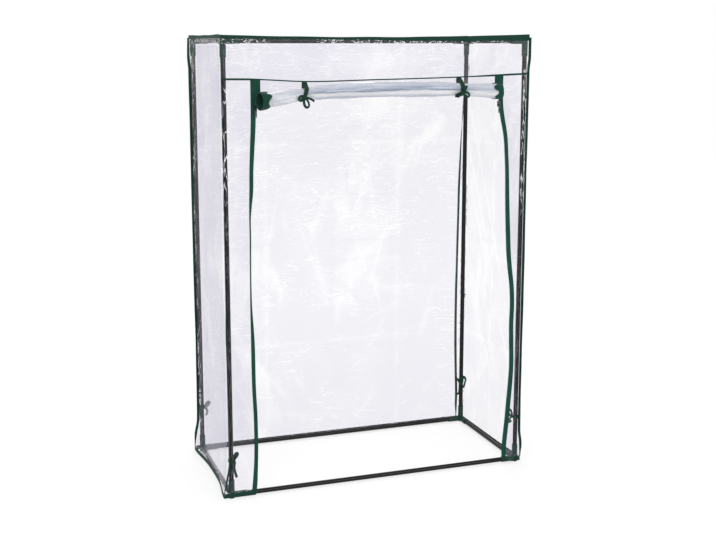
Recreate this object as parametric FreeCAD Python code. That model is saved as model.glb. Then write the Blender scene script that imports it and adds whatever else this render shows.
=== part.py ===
import FreeCAD, Part
import math
import os

from FreeCAD import Rotation, Vector

# A tomato greenhouse: an open box of plugged steel tubes under a sewn cover of clear film,
# with its front door rolled up and tied under the header.
# Millimetres, +Z up, front towards -Y, origin on the ground at the middle of the frame's footprint.

# Frame of tubes
frame_width = 1060.0  # along X, over the corner connectors
frame_depth = 490.0  # along Y, over the corner connectors
frame_height = 1500.0  # ground to the top of the connectors
tube_od = 16.0
tube_wall = 0.7
tube_fit = 0.1  # radial clearance of a tube in a socket, and of a spigot in a tube
seat_gap = 0.3  # between a tube's end and what it stops against
spigot_length = 35.0  # swaged end that plugs into the next tube
spigot_taper = 4.0

# Three-way corner connectors
sleeve_wall = 1.9
sleeve_reach = 62.0  # outer face of the corner to a sleeve's mouth
socket_depth = 40.0
foot_step = 1.0  # how far the upright sleeve's closed end stands proud of the rails' sleeves
mouth_round = 0.8

# Film cover
film = 0.2
cover_gap = 0.3  # frame to film
hem_lift = 4.0  # ground to the lower edge of the cover
hem_height = 15.0
hem_tape = 0.8
header_drop = 134.0  # top of the frame to the header's seam
header_tape_height = 4.0
roof_fin_height = 9.5
corner_fin_width = 9.0
fin_tape = 1.0

# Zips
zip_span = 842.0  # between the two zips' meeting lines
zip_tape_width = 16.0
zip_tape = 0.6
coil_diameter = 2.2
coil_inset = 0.2  # meeting line to the near side of the coil
zip_closed = 75.0  # stretch under the header that stays zipped
zip_play = 0.3  # slider to coil
slider_length = 20.0
slider_inner_lip = 5.3  # from the coil's middle towards the doorway
slider_outer_lip = 4.7  # from the coil's middle towards the strip
slider_plate = 1.3
pin_radius = 0.8
pin_standoff = 2.6  # slider's front plate to the pin's middle
pin_share = 0.35  # pin's height as a share of the slider's length
lug_radius = 1.7
lug_width = 1.2
pull_play = 0.15
pull_eye_wall = 1.0
pull_neck = 3.0
pull_width = 7.0
pull_thickness = 1.6
pull_shoulder = 3.6  # pin to the top of the wide tab
pull_length = 28.0
pull_hole = 3.4

# Rolled door
roll_diameter = 52.0
roll_core = 8.0  # hollow in the middle of the roll
roll_turns = 14
roll_end_room = 9.0  # zip's meeting line to the end of the roll
roll_drop = 35.0  # header's seam to the roll's axis

# Ties
tie_tape = 0.8
tie_gap = 0.3
door_tie_width = 15.0
left_tie_inset = 146.0  # end of the roll to the middle of the left door tie
right_tie_inset = 126.0  # end of the roll to the middle of the right door tie
tie_tail_above = 10.0  # inner end of a door tie above the header's seam
knot_radius = 5.0
knot_angle = 215.0  # round the roll, from the back, over the top and down the front
bow_radius = 7.5
bow_depth = 7.0
bow_tail = 18.0
corner_tie_width = 12.0
corner_tie_height = 140.0  # ground to the middle of a corner tie
corner_tail = 28.0
corner_tail_spread = 20.0  # degrees that each tail hangs off plumb

# Worked out from the sizes above
tube_r = tube_od / 2
bore_r = tube_r - tube_wall
spigot_r = bore_r - tube_fit
sleeve_r = tube_r + tube_fit + sleeve_wall
post_x = frame_width / 2 - sleeve_r
post_y = frame_depth / 2 - sleeve_r
base_z = sleeve_r + foot_step
top_z = frame_height - base_z
tube_inset = sleeve_reach - socket_depth + seat_gap

inner_x = frame_width / 2 + cover_gap
inner_y = frame_depth / 2 + cover_gap
inner_z = frame_height + cover_gap
outer_x = inner_x + film
outer_y = inner_y + film
outer_z = inner_z + film
header_z = frame_height - header_drop
header_tape_low = header_z - header_tape_height / 2
hem_top = hem_lift + hem_height

coil_r = coil_diameter / 2
zip_x = zip_span / 2
coil_x = zip_x + coil_inset + coil_r
coil_y = -outer_y - zip_tape / 2
strip_edge = coil_x + coil_r + cover_gap

roll_z = header_z - roll_drop
roll_half = zip_x - roll_end_room
roll_film_half = roll_half - zip_tape_width
last_radius = (roll_diameter - film) / 2
first_radius = (roll_core + film) / 2
half_turns = 2 * roll_turns
half_step = (last_radius - first_radius) / (half_turns - 1)
roll_y = -outer_y - cover_gap - max(film, zip_tape) / 2 - last_radius
tie_inner_r = -inner_y + tie_gap - roll_y

slider_top = header_z - zip_closed
slider_low = slider_top - slider_length
channel = coil_r + zip_play
slider_front = coil_y - channel - slider_plate
slider_x = coil_x + (slider_outer_lip - slider_inner_lip) / 2
pin_y = slider_front - pin_standoff
pin_z = slider_low + pin_share * slider_length

X, Y, Z = Vector(1, 0, 0), Vector(0, 1, 0), Vector(0, 0, 1)
parts = {}


def box(x0, x1, y0, y1, z0, z1):
    """A block between two corners."""
    return Part.makeBox(x1 - x0, y1 - y0, z1 - z0, Vector(x0, y0, z0))


def rod(radius, start, direction, length):
    """A round bar from a start point."""
    return Part.makeCylinder(radius, length, start, direction)


def turned(profile):
    """A solid of revolution about Z from (radius, height) points."""
    points = [Vector(r, 0, z) for r, z in profile]
    return Part.Face(Part.makePolygon(points + points[:1])).revolve(Vector(), Z, 360)


def laid(shape, start, direction):
    """A shape made along +Z from the origin, moved to a start point and turned along a direction."""
    placed = shape.copy()
    placed.Placement = FreeCAD.Placement(start, Rotation(Z, direction))
    return placed


def mirrored(shape):
    """The same piece on the other side of the middle plane."""
    return shape.mirror(Vector(), X)


def plain_tube(length):
    """A length of tube along +Z."""
    return turned([(bore_r, 0), (tube_r, 0), (tube_r, length), (bore_r, length)])


def spigot_tube(length):
    """A tube along +Z whose far end tapers to a spigot that stands out past its length."""
    neck = length - spigot_taper
    tip = length + spigot_length
    return turned([
        (bore_r, 0),
        (tube_r, 0),
        (tube_r, neck),
        (spigot_r, length),
        (spigot_r, tip),
        (spigot_r - tube_wall, tip),
        (spigot_r - tube_wall, length),
        (bore_r, neck),
    ])


def add_plugged_pair(first, second, start, direction, span):
    """Two tubes that plug together half way along a span between two connectors."""
    half = span / 2 - tube_inset
    parts[first] = laid(spigot_tube(half), start + direction * tube_inset, direction)
    joint = start + direction * (span / 2 + seat_gap)
    parts[second] = laid(plain_tube(half - seat_gap), joint, direction)


def add_frame_tubes():
    """Four posts, four long rails in two tubes each, and four short rails in one."""
    for side, x in (("left", -post_x), ("right", post_x)):
        for end, y in (("front", -post_y), ("back", post_y)):
            name = f"post_{end}_{side}"
            add_plugged_pair(f"{name}_lower", f"{name}_upper", Vector(x, y, 0), Z, frame_height)
    for level, z in (("base", base_z), ("top", top_z)):
        for end, y in (("front", -post_y), ("back", post_y)):
            name = f"{level}_rail_{end}"
            start = Vector(-frame_width / 2, y, z)
            add_plugged_pair(f"{name}_left", f"{name}_right", start, X, frame_width)
        for side, x in (("left", -post_x), ("right", post_x)):
            start = Vector(x, -frame_depth / 2 + tube_inset, z)
            parts[f"{level}_rail_{side}"] = laid(plain_tube(frame_depth - 2 * tube_inset), start, Y)


def connector():
    """A base connector about its hub: sleeves along +X and +Y, and an upright one with a closed foot."""
    level_arm = sleeve_reach - sleeve_r
    arms = ((X, level_arm), (Y, level_arm), (Z, sleeve_reach - base_z))
    body = rod(sleeve_r, Vector(0, 0, -base_z), Z, sleeve_reach)
    for direction in (X, Y):
        body = body.fuse(rod(sleeve_r, Vector(), direction, level_arm))
    for direction, arm in arms:
        socket = rod(tube_r + tube_fit, direction * (arm - socket_depth), direction, socket_depth)
        body = body.cut(socket)
    rims = [Z * -base_z] + [direction * arm for direction, arm in arms]
    edges = [e for e in body.Edges if is_rim(e, rims)]
    return body.makeFillet(min(mouth_round, sleeve_wall / 2), edges)


def is_rim(edge, centres):
    """Whether an edge is the outer circle of a sleeve's end."""
    if not isinstance(edge.Curve, Part.Circle) or abs(edge.Curve.Radius - sleeve_r) > 0.01:
        return False
    return any(edge.Curve.Center.distanceToPoint(c) < 0.01 for c in centres)


def add_connectors():
    """One connector at each corner, turned about Z, and upside down at the top."""
    upright = connector()
    inverted = upright.copy()
    inverted.rotate(Vector(), X, 180)
    corners = (("front_left", -1, -1), ("front_right", 1, -1), ("back_right", 1, 1), ("back_left", -1, 1))
    for quarter, (name, sx, sy) in enumerate(corners):
        for level, shape, z, lead in (("base", upright, base_z, 0), ("top", inverted, top_z, 1)):
            placed = shape.copy()
            placed.rotate(Vector(), Z, 90 * (quarter + lead))
            placed.translate(Vector(sx * post_x, sy * post_y, z))
            parts[f"{level}_connector_{name}"] = placed


def add_panels():
    """Seven flat panels of film that meet edge to edge."""
    parts["roof_panel"] = box(-outer_x, outer_x, -outer_y, outer_y, inner_z, outer_z)
    parts["back_panel"] = box(-outer_x, outer_x, inner_y, outer_y, hem_lift, inner_z)
    parts["front_header"] = box(-outer_x, outer_x, -outer_y, -inner_y, header_z, inner_z)
    parts["left_panel"] = box(-outer_x, -inner_x, -inner_y, inner_y, hem_lift, inner_z)
    parts["right_panel"] = mirrored(parts["left_panel"])
    parts["front_left_strip"] = box(-outer_x, -strip_edge, -outer_y, -inner_y, hem_lift, header_z)
    parts["front_right_strip"] = mirrored(parts["front_left_strip"])


def add_bindings():
    """Folded tape sewn over the cover's seams and round its lower edge."""
    fin_top = outer_z + roof_fin_height
    end_x, end_y = outer_x - fin_tape, outer_y - fin_tape
    front_fin = box(-outer_x, outer_x, -outer_y, -end_y, outer_z, fin_top)
    left_fin = box(-outer_x, -end_x, -end_y, end_y, outer_z, fin_top)
    back_fin = front_fin.mirror(Vector(), Y)
    parts["roof_binding"] = Part.makeCompound([front_fin, back_fin, left_fin, mirrored(left_fin)])

    fin = box(0, corner_fin_width, -fin_tape / 2, fin_tape / 2, hem_top, outer_z)
    for name, sx, sy in (
        ("front_left", -1, -1),
        ("front_right", 1, -1),
        ("back_left", -1, 1),
        ("back_right", 1, 1),
    ):
        corner_fin = fin.copy()
        corner_fin.rotate(Vector(), Z, math.degrees(math.atan2(sy, sx)))
        corner_fin.translate(Vector(sx * outer_x, sy * outer_y, 0))
        parts[f"corner_binding_{name}"] = corner_fin

    back_hem = box(-outer_x, outer_x, outer_y, outer_y + hem_tape, hem_lift, hem_top)
    left_hem = box(-outer_x - hem_tape, -outer_x, -outer_y, outer_y, hem_lift, hem_top)
    strip_hem = box(-outer_x, -strip_edge, -outer_y - hem_tape, -outer_y, hem_lift, hem_top)
    hems = [back_hem, left_hem, mirrored(left_hem), strip_hem, mirrored(strip_hem)]
    parts["hem_binding"] = Part.makeCompound(hems)

    tape_top = header_tape_low + header_tape_height
    parts["header_binding"] = box(
        -end_x, end_x, -outer_y - hem_tape, -outer_y, header_tape_low, tape_top)


def add_strip_zips():
    """Tape and coil on the free edge of each front strip."""
    tape_edge = coil_x + zip_tape_width - coil_r
    tape = box(-tape_edge, -coil_x, -outer_y - zip_tape, -outer_y, hem_top, header_tape_low)
    coil = rod(coil_r, Vector(-coil_x, coil_y, hem_top), Z, header_tape_low - hem_top)
    parts["left_strip_zip"] = tape.fuse(coil).removeSplitter()
    parts["right_strip_zip"] = mirrored(parts["left_strip_zip"])


def half_turn(index):
    """Middle, radius and first angle of one half turn of the roll, counted from the core outwards.

    The lower halves turn about the roll's axis and the upper ones about a line half a step in front
    of it, so each half turn runs on smoothly into a larger one."""
    lower = (half_turns - 1 - index) % 2 == 0
    middle = roll_y if lower else roll_y - half_step
    return middle, first_radius + half_step * index, math.pi if lower else 0.0


def roll_point(index, share, offset, x):
    """A point on one half turn of the roll, at a share of its sweep and an offset from the film's middle."""
    middle, radius, first = half_turn(index)
    angle = first + share * math.pi
    reach = radius + offset
    return Vector(x, middle + reach * math.cos(angle), roll_z + reach * math.sin(angle))


def rolled_sheet(thickness, x0, x1):
    """A sheet wound in one unbroken spiral, from its core to the edge that runs up to the flap."""
    def arc(index, offset):
        return Part.Arc(*(roll_point(index, share, offset, x0) for share in (0, 0.5, 1))).toShape()

    outside = [arc(i, thickness / 2) for i in range(half_turns)]
    inside = [arc(i, -thickness / 2) for i in reversed(range(half_turns))]
    end = half_turns - 1
    outer_cap = Part.makeLine(roll_point(end, 1, thickness / 2, x0), roll_point(end, 1, -thickness / 2, x0))
    inner_cap = Part.makeLine(roll_point(0, 0, -thickness / 2, x0), roll_point(0, 0, thickness / 2, x0))
    outline = Part.Wire(outside + [outer_cap] + inside + [inner_cap])
    return Part.Face(outline).extrude(X * (x1 - x0))


def least_roll_gap(thickness, steps=24):
    """The least clear distance between one turn of the roll and the turns round it, on points."""
    path = [roll_point(i, k / steps, 0, 0) for i in range(half_turns) for k in range(steps)]
    apart = steps  # points less than half a turn away along the sheet are its own neighbours
    nearest = min(
        a.distanceToPoint(b) for i, a in enumerate(path) for b in path[i + apart:])
    return nearest - thickness


def add_door():
    """The door's short flap under the header, its rolled film, and the zip tape rolled up at each end."""
    parts["door_flap"] = box(-roll_half, roll_half, -outer_y, -inner_y, roll_z, header_z)
    parts["door_roll"] = rolled_sheet(film, -roll_film_half, roll_film_half)
    parts["left_door_zip"] = rolled_sheet(zip_tape, -roll_half, -roll_film_half)
    parts["right_door_zip"] = mirrored(parts["left_door_zip"])
    length = sum(math.pi * half_turn(i)[1] for i in range(half_turns))
    print(f"rolled film {length:.0f} mm long, least gap {least_roll_gap(film):.2f} mm")
    print(f"rolled zip tape least gap {least_roll_gap(zip_tape):.2f} mm")


def bow():
    """A knot at the origin with a loop to the left, a loop below and a tail to the right."""
    knot = Part.makeSphere(knot_radius)

    def loop(x, z):
        start = Vector(x, -bow_depth, z)
        ring = rod(bow_radius, start, Y, bow_depth)
        return ring.cut(rod(bow_radius - tie_tape, start, Y, bow_depth))

    away = knot_radius + bow_radius - 2 * tie_tape
    tail = box(0, away + bow_tail - knot_radius, -bow_depth, 0, -tie_tape / 2, tie_tape / 2)
    return knot.fuse([loop(-away, 0), loop(0, -away), tail]).removeSplitter()


def door_tie(x):
    """A tape sewn to the header's seam outside and inside, passing over the roll's front and under it."""
    centre = Vector(0, roll_y, roll_z)
    outer_r = tie_inner_r + tie_tape
    seam = Vector(0, -outer_y - hem_tape, header_tape_low + tie_tape)
    reach = seam - centre
    lean = math.atan2(reach.z, reach.y) + math.acos(tie_inner_r / reach.Length)
    normal = Vector(0, math.cos(lean), math.sin(lean))

    def rim(radius, angle):
        return centre + Vector(0, radius * math.cos(angle), radius * math.sin(angle))

    def wrap(radius):
        middle = (lean + 2 * math.pi) / 2
        return Part.Arc(rim(radius, lean), rim(radius, middle), rim(radius, 2 * math.pi)).toShape()

    top = header_z + tie_tail_above
    inner_end = Vector(0, roll_y + tie_inner_r, top)
    outer_end = Vector(0, roll_y + outer_r, top)
    outline = Part.Wire([
        Part.makeLine(seam, rim(tie_inner_r, lean)),
        wrap(tie_inner_r),
        Part.makeLine(rim(tie_inner_r, 0), inner_end),
        Part.makeLine(inner_end, outer_end),
        Part.makeLine(outer_end, rim(outer_r, 0)),
        wrap(outer_r),
        Part.makeLine(rim(outer_r, lean), seam + normal * tie_tape),
        Part.makeLine(seam + normal * tie_tape, seam),
    ])
    band = Part.Face(outline).extrude(X * door_tie_width)
    band.translate(X * (x - door_tie_width / 2))
    knot = bow()
    knot.translate(rim(outer_r + knot_radius - tie_tape / 2, math.radians(knot_angle)) + X * x)
    return band.fuse(knot).removeSplitter()


def corner_tie():
    """A tape round a post at the origin, sewn to the cover's corner along (-1, -1) and knotted inside."""
    ring_in = tube_r + tie_gap
    ring_out = ring_in + tie_tape
    low = corner_tie_height - corner_tie_width / 2
    ring = rod(ring_out, Z * low, Z, corner_tie_width)
    ring = ring.cut(rod(ring_in, Z * low, Z, corner_tie_width))
    corner = math.sqrt(2) * (sleeve_r + cover_gap)
    strap_end = corner - tie_tape
    strap = box(-strap_end, -ring_in - tie_tape / 2, -tie_tape / 2, tie_tape / 2, low, low + corner_tie_width)
    knot_at = Vector(ring_out + knot_radius - tie_tape / 2, 0, corner_tie_height)
    knot = Part.makeSphere(knot_radius, knot_at)
    pieces = [strap, knot]
    for lean in (corner_tail_spread, -corner_tail_spread):
        tail = box(-tie_tape / 2, tie_tape / 2, -bow_depth / 2, bow_depth / 2, -corner_tail, 0)
        tail.rotate(Vector(), X, lean)
        tail.translate(knot_at)
        pieces.append(tail)
    tie = ring.fuse(pieces).removeSplitter()
    tie.rotate(Vector(), Z, 45)
    return tie


def add_ties():
    """Two ties that hold the rolled door and four that hold the cover to the posts."""
    parts["left_door_tie"] = door_tie(left_tie_inset - roll_half)
    parts["right_door_tie"] = door_tie(roll_half - right_tie_inset)
    tie = corner_tie()
    corners = (("front_left", -1, -1), ("front_right", 1, -1), ("back_right", 1, 1), ("back_left", -1, 1))
    for quarter, (name, sx, sy) in enumerate(corners):
        placed = tie.copy()
        placed.rotate(Vector(), Z, 90 * quarter)
        placed.translate(Vector(sx * post_x, sy * post_y, 0))
        parts[f"corner_tie_{name}"] = placed


def zip_slider():
    """The left slider: two plates either side of the coil, and two lugs that carry the pull's pin."""
    far = -coil_x - slider_outer_lip
    near = -coil_x + slider_inner_lip
    back = coil_y + channel + slider_plate
    body = box(far, near, slider_front, back, slider_low, slider_top)
    wall = -coil_x + coil_r + zip_play
    body = body.cut(box(far, wall, coil_y - channel, coil_y + channel, slider_low, slider_top))
    lug_gap = pull_neck / 2 + zip_play
    for start in (-slider_x - lug_gap - lug_width, -slider_x + lug_gap):
        end = start + lug_width
        foot = box(start, end, pin_y, slider_front, pin_z - lug_radius, pin_z + lug_radius)
        body = body.fuse([foot, rod(lug_radius, Vector(start, pin_y, pin_z), X, lug_width)])
    pin_start = Vector(-slider_x - lug_gap - lug_width / 2, pin_y, pin_z)
    return body.fuse(rod(pin_radius, pin_start, X, 2 * lug_gap + lug_width)).removeSplitter()


def zip_pull():
    """The left pull: an eye round the slider's pin and a rounded tab with a hole, hanging plumb."""
    eye_r = pin_radius + pull_play
    eye_start = Vector(-slider_x - pull_neck / 2, pin_y, pin_z)
    eye = rod(eye_r + pull_eye_wall, eye_start, X, pull_neck)
    front = pin_y - pull_thickness / 2
    back = pin_y + pull_thickness / 2
    half = pull_width / 2
    round_z = pin_z - pull_length + half
    neck = box(
        -slider_x - pull_neck / 2, -slider_x + pull_neck / 2, front, back, pin_z - pull_shoulder, pin_z)
    tab = box(-slider_x - half, -slider_x + half, front, back, round_z, pin_z - pull_shoulder)
    tip = Vector(-slider_x, front, round_z)
    pull = eye.fuse([neck, tab, rod(half, tip, Y, pull_thickness)])
    pull = pull.cut(rod(eye_r, eye_start, X, pull_neck))
    return pull.cut(rod(pull_hole / 2, tip, Y, pull_thickness)).removeSplitter()


def add_sliders():
    """A slider and its pull on each zip."""
    parts["left_zip_slider"] = zip_slider()
    parts["left_zip_pull"] = zip_pull()
    parts["right_zip_slider"] = mirrored(parts["left_zip_slider"])
    parts["right_zip_pull"] = mirrored(parts["left_zip_pull"])


add_frame_tubes()
add_connectors()
add_panels()
add_bindings()
add_strip_zips()
add_door()
add_ties()
add_sliders()

os.makedirs("parts", exist_ok=True)
for node, solid in parts.items():
    solid.exportStep(f"parts/{node}.step")
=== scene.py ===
import math
from functools import partial

import bpy
import numpy as np
from mathutils import Matrix, Vector


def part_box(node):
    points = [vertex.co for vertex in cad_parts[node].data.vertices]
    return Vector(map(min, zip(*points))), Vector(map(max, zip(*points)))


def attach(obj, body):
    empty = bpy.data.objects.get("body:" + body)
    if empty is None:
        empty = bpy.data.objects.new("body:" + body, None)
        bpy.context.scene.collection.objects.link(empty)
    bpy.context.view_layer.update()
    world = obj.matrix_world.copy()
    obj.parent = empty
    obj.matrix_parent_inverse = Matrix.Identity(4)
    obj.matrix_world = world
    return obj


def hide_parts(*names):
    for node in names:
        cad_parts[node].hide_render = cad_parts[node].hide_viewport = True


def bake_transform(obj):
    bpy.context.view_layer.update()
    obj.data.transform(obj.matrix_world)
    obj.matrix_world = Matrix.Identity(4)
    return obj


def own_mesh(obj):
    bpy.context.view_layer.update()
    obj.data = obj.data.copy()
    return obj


# A tomato greenhouse: coated tubes under a sewn cover of clear film, with the door rolled up and tied.
# Metres, +Z up, front towards -Y. The tubes, connectors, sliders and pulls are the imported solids;
# the cover, its bindings, zips and ties are modelled here as slack sheets and tapes.

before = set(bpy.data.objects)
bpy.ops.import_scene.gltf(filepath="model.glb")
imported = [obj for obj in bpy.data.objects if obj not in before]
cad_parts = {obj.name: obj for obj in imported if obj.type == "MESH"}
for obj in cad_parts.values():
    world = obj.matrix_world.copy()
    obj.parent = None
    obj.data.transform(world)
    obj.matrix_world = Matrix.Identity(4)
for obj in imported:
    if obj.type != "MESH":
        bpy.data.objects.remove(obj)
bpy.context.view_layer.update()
scene = bpy.context.scene
MM = 0.001


def box(node):
    """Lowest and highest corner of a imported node, one to a row."""
    return np.array(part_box(node))


back_box, header_box, post_box = map(box, ("back_panel", "front_header", "post_front_left_upper"))
strip_box, strip_tape_box = map(box, ("front_left_strip", "left_strip_zip"))
flap_box, roll_box = map(box, ("door_flap", "door_roll"))

cover_x = back_box[1, 0] - 0.1 * MM
cover_width = 2 * cover_x
front_y, back_y = header_box[:, 1].mean(), back_box[:, 1].mean()
cover_depth = back_y - front_y
roof_z = box("roof_panel")[:, 2].mean()
hem_z, hem_top = box("hem_binding")[:, 2]
panel_height = roof_z - hem_z
seam_z = header_box[0, 2]
fin_top = box("roof_binding")[1, 2]
post_x, post_y = -post_box[:, :2].mean(axis=0)
post_r = np.ptp(post_box[:, 0]) / 2
rail_low, rail_high = (box(f"{level}_rail_front_left")[:, 2].mean() for level in ("base", "top"))
strip_width, tape_width = np.ptp(strip_box[:, 0]), np.ptp(strip_tape_box[:, 0])
zip_x = -strip_tape_box[1, 0] - 0.2 * MM
roll_z = flap_box[0, 2]
roll_outer = np.ptp(roll_box[:, 2]) / 2 - 0.1 * MM
roll_half, flap_half = roll_box[1, 0], flap_box[1, 0]

SIDES = ((-1, "left"), (1, "right"))
FILM_STEP = 7 * MM  # spacing of the film's points


# Finishes

def srgb(code):
    """Linear colour of an sRGB hex value."""
    shares = [int(code[i:i + 2], 16) / 255 for i in (1, 3, 5)]
    linear = [s / 12.92 if s <= 0.04045 else ((s + 0.055) / 1.055) ** 2.4 for s in shares]
    return (*linear, 1.0)


def add(tree, kind, inputs=None, **settings):
    """A node, a shader's unless its kind says otherwise. A node as an input stands for its first output."""
    made = tree.nodes.new(kind if "Node" in kind else f"ShaderNode{kind}")
    for name, value in settings.items():
        setattr(made, name, value)
    for name, value in (inputs or {}).items():
        if isinstance(value, bpy.types.Node):
            value = next(output for output in value.outputs if output.enabled)
        if isinstance(value, bpy.types.NodeSocket):
            tree.links.new(value, made.inputs[name])
        else:
            made.inputs[name].default_value = value
    return made


def new_finish(name, surface, *facts, kind="Material", **more):
    """A material or world, its surface built by a function that is handed a way to add nodes."""
    made = (bpy.data.worlds if kind == "World" else bpy.data.materials).new(name)
    made.use_nodes = True
    made.node_tree.nodes.clear()
    node = partial(add, made.node_tree)
    node(f"Output{kind}", {"Surface": surface(node, *facts, **more)})
    return made


def film_layers(node, place, crinkle, strength, milk, front, haze, clear, rough, shine):
    """Film to the eye: a crinkled glossy skin over a body that is partly clear and partly milky."""
    grain = node("TexNoise", {"Vector": place, "Scale": 1 / crinkle, "Detail": 3.0})
    bump = node("Bump", {"Height": grain, "Strength": strength, "Distance": 0.6 * MM})
    behind, before = (node(kind, {"Color": milk, "Normal": bump}) for kind in ("BsdfTranslucent", "BsdfDiffuse"))
    milky = node("MixShader", {"Fac": front, 1: behind, 2: before})
    through = node("BsdfTransparent", {"Color": clear})
    body = node("MixShader", {"Fac": haze, 1: through, 2: milky})
    skin = node("BsdfGlossy", {"Color": srgb("#ffffff"), "Roughness": rough, "Normal": bump})
    slant = node("LayerWeight", {"Blend": 0.5}).outputs["Facing"]
    steep = node("Math", {0: slant, 1: 5.0}, operation="POWER")
    gloss = node("Math", {0: steep, 1: shine[0], 2: shine[1]}, operation="MULTIPLY_ADD")
    return node("MixShader", {"Fac": gloss, 1: body, 2: skin})


def vinyl_film(node):
    """Soft vinyl: clear with a faint lavender cast, with painted highlights that make it paler along its creases, and
    painted glint lines where it lies on a tube.
    """
    place = node("TexCoord").outputs["Object"]
    crease, hazy, wrinkled, on_post, on_rail = (
        node("Attribute", attribute_name=mark).outputs["Fac"]
        for mark in ("crease", "haze", "wrinkled", "on_post", "on_rail"))
    # painted wrinkle glints come in bunches about 130 mm across, or all over a part marked for them
    group = node("TexNoise", {"Vector": place, "Scale": 1 / 0.13, "Detail": 2.0})
    wide = node("Math", {0: wrinkled, 1: 0.16, 2: group}, operation="MULTIPLY_ADD")
    bunch = node("MapRange", {"Value": wide, "From Min": 0.46, "From Max": 0.60, "To Max": 0.8})
    # painted glint lines, thin and wandering: drawn out along posts, curlier on rails, wrinkle glints across the back
    # and up the sides
    lines = []
    for drawn, spacing, thin, share in (
            ((1.0, 0.4, 0.15), 14 * MM, 0.036, on_post), ((0.45, 0.45, 1.0), 11 * MM, 0.034, on_rail),
            ((0.12, 1.0, 0.55), 11 * MM, 0.030, bunch)):
        stretched = node("Mapping", {"Vector": place, "Scale": drawn})
        flow = node("TexNoise", {"Vector": stretched, "Scale": 1 / spacing, "Detail": 2.0, "Distortion": 0.6})
        off = node("Math", {0: flow, 1: 0.5}, operation="SUBTRACT")
        ridge = node("Math", {0: off}, operation="ABSOLUTE")
        line = node("MapRange", {"Value": ridge, "From Max": thin, "To Min": 1.0, "To Max": 0.0})
        lines.append(node("Math", {0: line, 1: share}, operation="MULTIPLY"))
    post_lines, rail_lines, fine = lines
    # painted reflection: cloudy zones about 180 mm across, the creases and the wrinkle lines are painted paler, for
    # light caught on the crinkled film
    cloud = node("TexNoise", {"Vector": place, "Scale": 1 / 0.18, "Detail": 3.0})
    zone = node("MapRange", {"Value": cloud, "From Min": 0.40, "From Max": 0.68, "To Max": 0.45})
    soft = node("Math", {0: zone, 1: crease}, operation="ADD")
    pale = node("Math", {0: soft, 1: fine}, operation="ADD", use_clamp=True)
    tint = node("Mix", {"Factor": pale, 6: srgb("#f1f0f5"), 7: srgb("#fdfdfe")}, data_type="RGBA")
    # a painted wrinkle glint line loses its haze
    left = node("Math", {0: fine, 1: -0.7, 2: 1.0}, operation="MULTIPLY_ADD")
    haze = node("Math", {0: hazy, 1: left}, operation="MULTIPLY")
    # crinkled film breaks a flat mirror up, so the grazing reflection stays low
    film = film_layers(node, place, 12 * MM, 0.16, srgb("#d6d4e0"), 0.4, haze, tint, 0.26, (0.06, 0.010))
    # painted glints: patches of white matt lines where the film clings to a tube
    patch = node("MapRange", {"Value": group, "From Min": 0.38, "From Max": 0.48})
    both = node("Math", {0: post_lines, 1: rail_lines}, operation="MAXIMUM")
    silvered = node("Math", {0: both, 1: patch}, operation="MULTIPLY")
    silver = node("BsdfDiffuse", {"Color": srgb("#f7f7fb")})
    return node("MixShader", {"Fac": silvered, 1: film, 2: silver})


def rolled_vinyl(node):
    """The same vinyl rolled up: layer on layer turns it silvery, with bright streaks, and painted light and shade in
    bands round the roll.
    """
    place = node("TexCoord").outputs["Object"]
    # streaks about 250 mm long and 6 mm wide
    drawn = node("Mapping", {"Vector": place, "Scale": (0.024, 1.0, 1.0)})
    streak = node("TexNoise", {"Vector": drawn, "Scale": 1 / 0.006, "Detail": 4.0, "Distortion": 0.5})
    share = node("MapRange", {"Value": streak, "From Min": 0.36, "From Max": 0.60})
    tint = node("Mix", {"Factor": share, 6: srgb("#e2e6ee"), 7: srgb("#ffffff")}, data_type="RGBA")
    # round the roll, painted light and shade: a grey lap over the front painted as a blue-grey shade band, a painted
    # dark shadow line under its edge, then bright film as a painted highlight band
    round_it, lap = (node("Attribute", attribute_name=mark).outputs["Fac"] for mark in ("round", "lap"))
    waver = node("TexNoise", {"Vector": place, "Scale": 1 / 0.16, "Detail": 3.0})
    moved = node("Math", {0: waver, 1: 0.16, 2: round_it}, operation="MULTIPLY_ADD")
    bands = node("ValToRGB", {"Fac": moved})
    # painted shade and highlight stops: pale film, blue-grey shade, a dark shadow line, a white highlight band
    stops = ((0.0, "#fbfcfe"), (0.42, "#fafbfd"), (0.50, "#dfe4ee"), (0.585, "#bac3d4"), (0.600, "#747c90"),
             (0.614, "#ffffff"), (0.69, "#ffffff"), (0.74, "#eceef4"), (1.0, "#fbfcfe"))
    ramp = bands.color_ramp.elements
    while len(ramp) < len(stops):
        ramp.new(1.0)
    for stop, (at, code) in zip(ramp, stops):
        stop.position = at
        stop.color = srgb(code)
    # lap sets how strongly the painted shade and highlight bands show
    colour = node("Mix", {"Factor": lap, 6: tint, 7: bands}, data_type="RGBA", blend_type="MULTIPLY")
    return film_layers(node, place, 10 * MM, 0.25, colour, 0.65, 0.62, srgb("#fbfbfd"), 0.12, (0.6, 0.04))


def hard_finish(node, dark, light, cloud, grain, rough, bump, worn=False, **shader):
    """A hard surface: two close shades in clouds, with the relief of a finer grain. Sizes come with their detail."""
    place = node("TexCoord").outputs["Object"]
    cloud, grain = (node("TexNoise", {"Vector": place, "Scale": 1 / size, "Detail": detail})
                    for size, detail in (cloud, grain))
    colour = node("Mix", {"Factor": cloud, 6: srgb(dark), 7: srgb(light)}, data_type="RGBA")
    if isinstance(rough, tuple):
        rough = node("MapRange", {"Value": grain if worn else cloud, "To Min": rough[0], "To Max": rough[1]})
    relief = node("Bump", {"Height": grain, "Strength": bump[0], "Distance": bump[1]})
    return node("BsdfPrincipled", {"Base Color": colour, "Roughness": rough, "Normal": relief, **shader})


def small_part(node, dark, light, grain, rough, **shader):
    """A small hard part, cast or drawn: two close shades in one fine grain."""
    return hard_finish(node, dark, light, (grain, 3.0), (grain, 3.0), rough, (0.2, 0.1 * MM), **shader)


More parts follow.
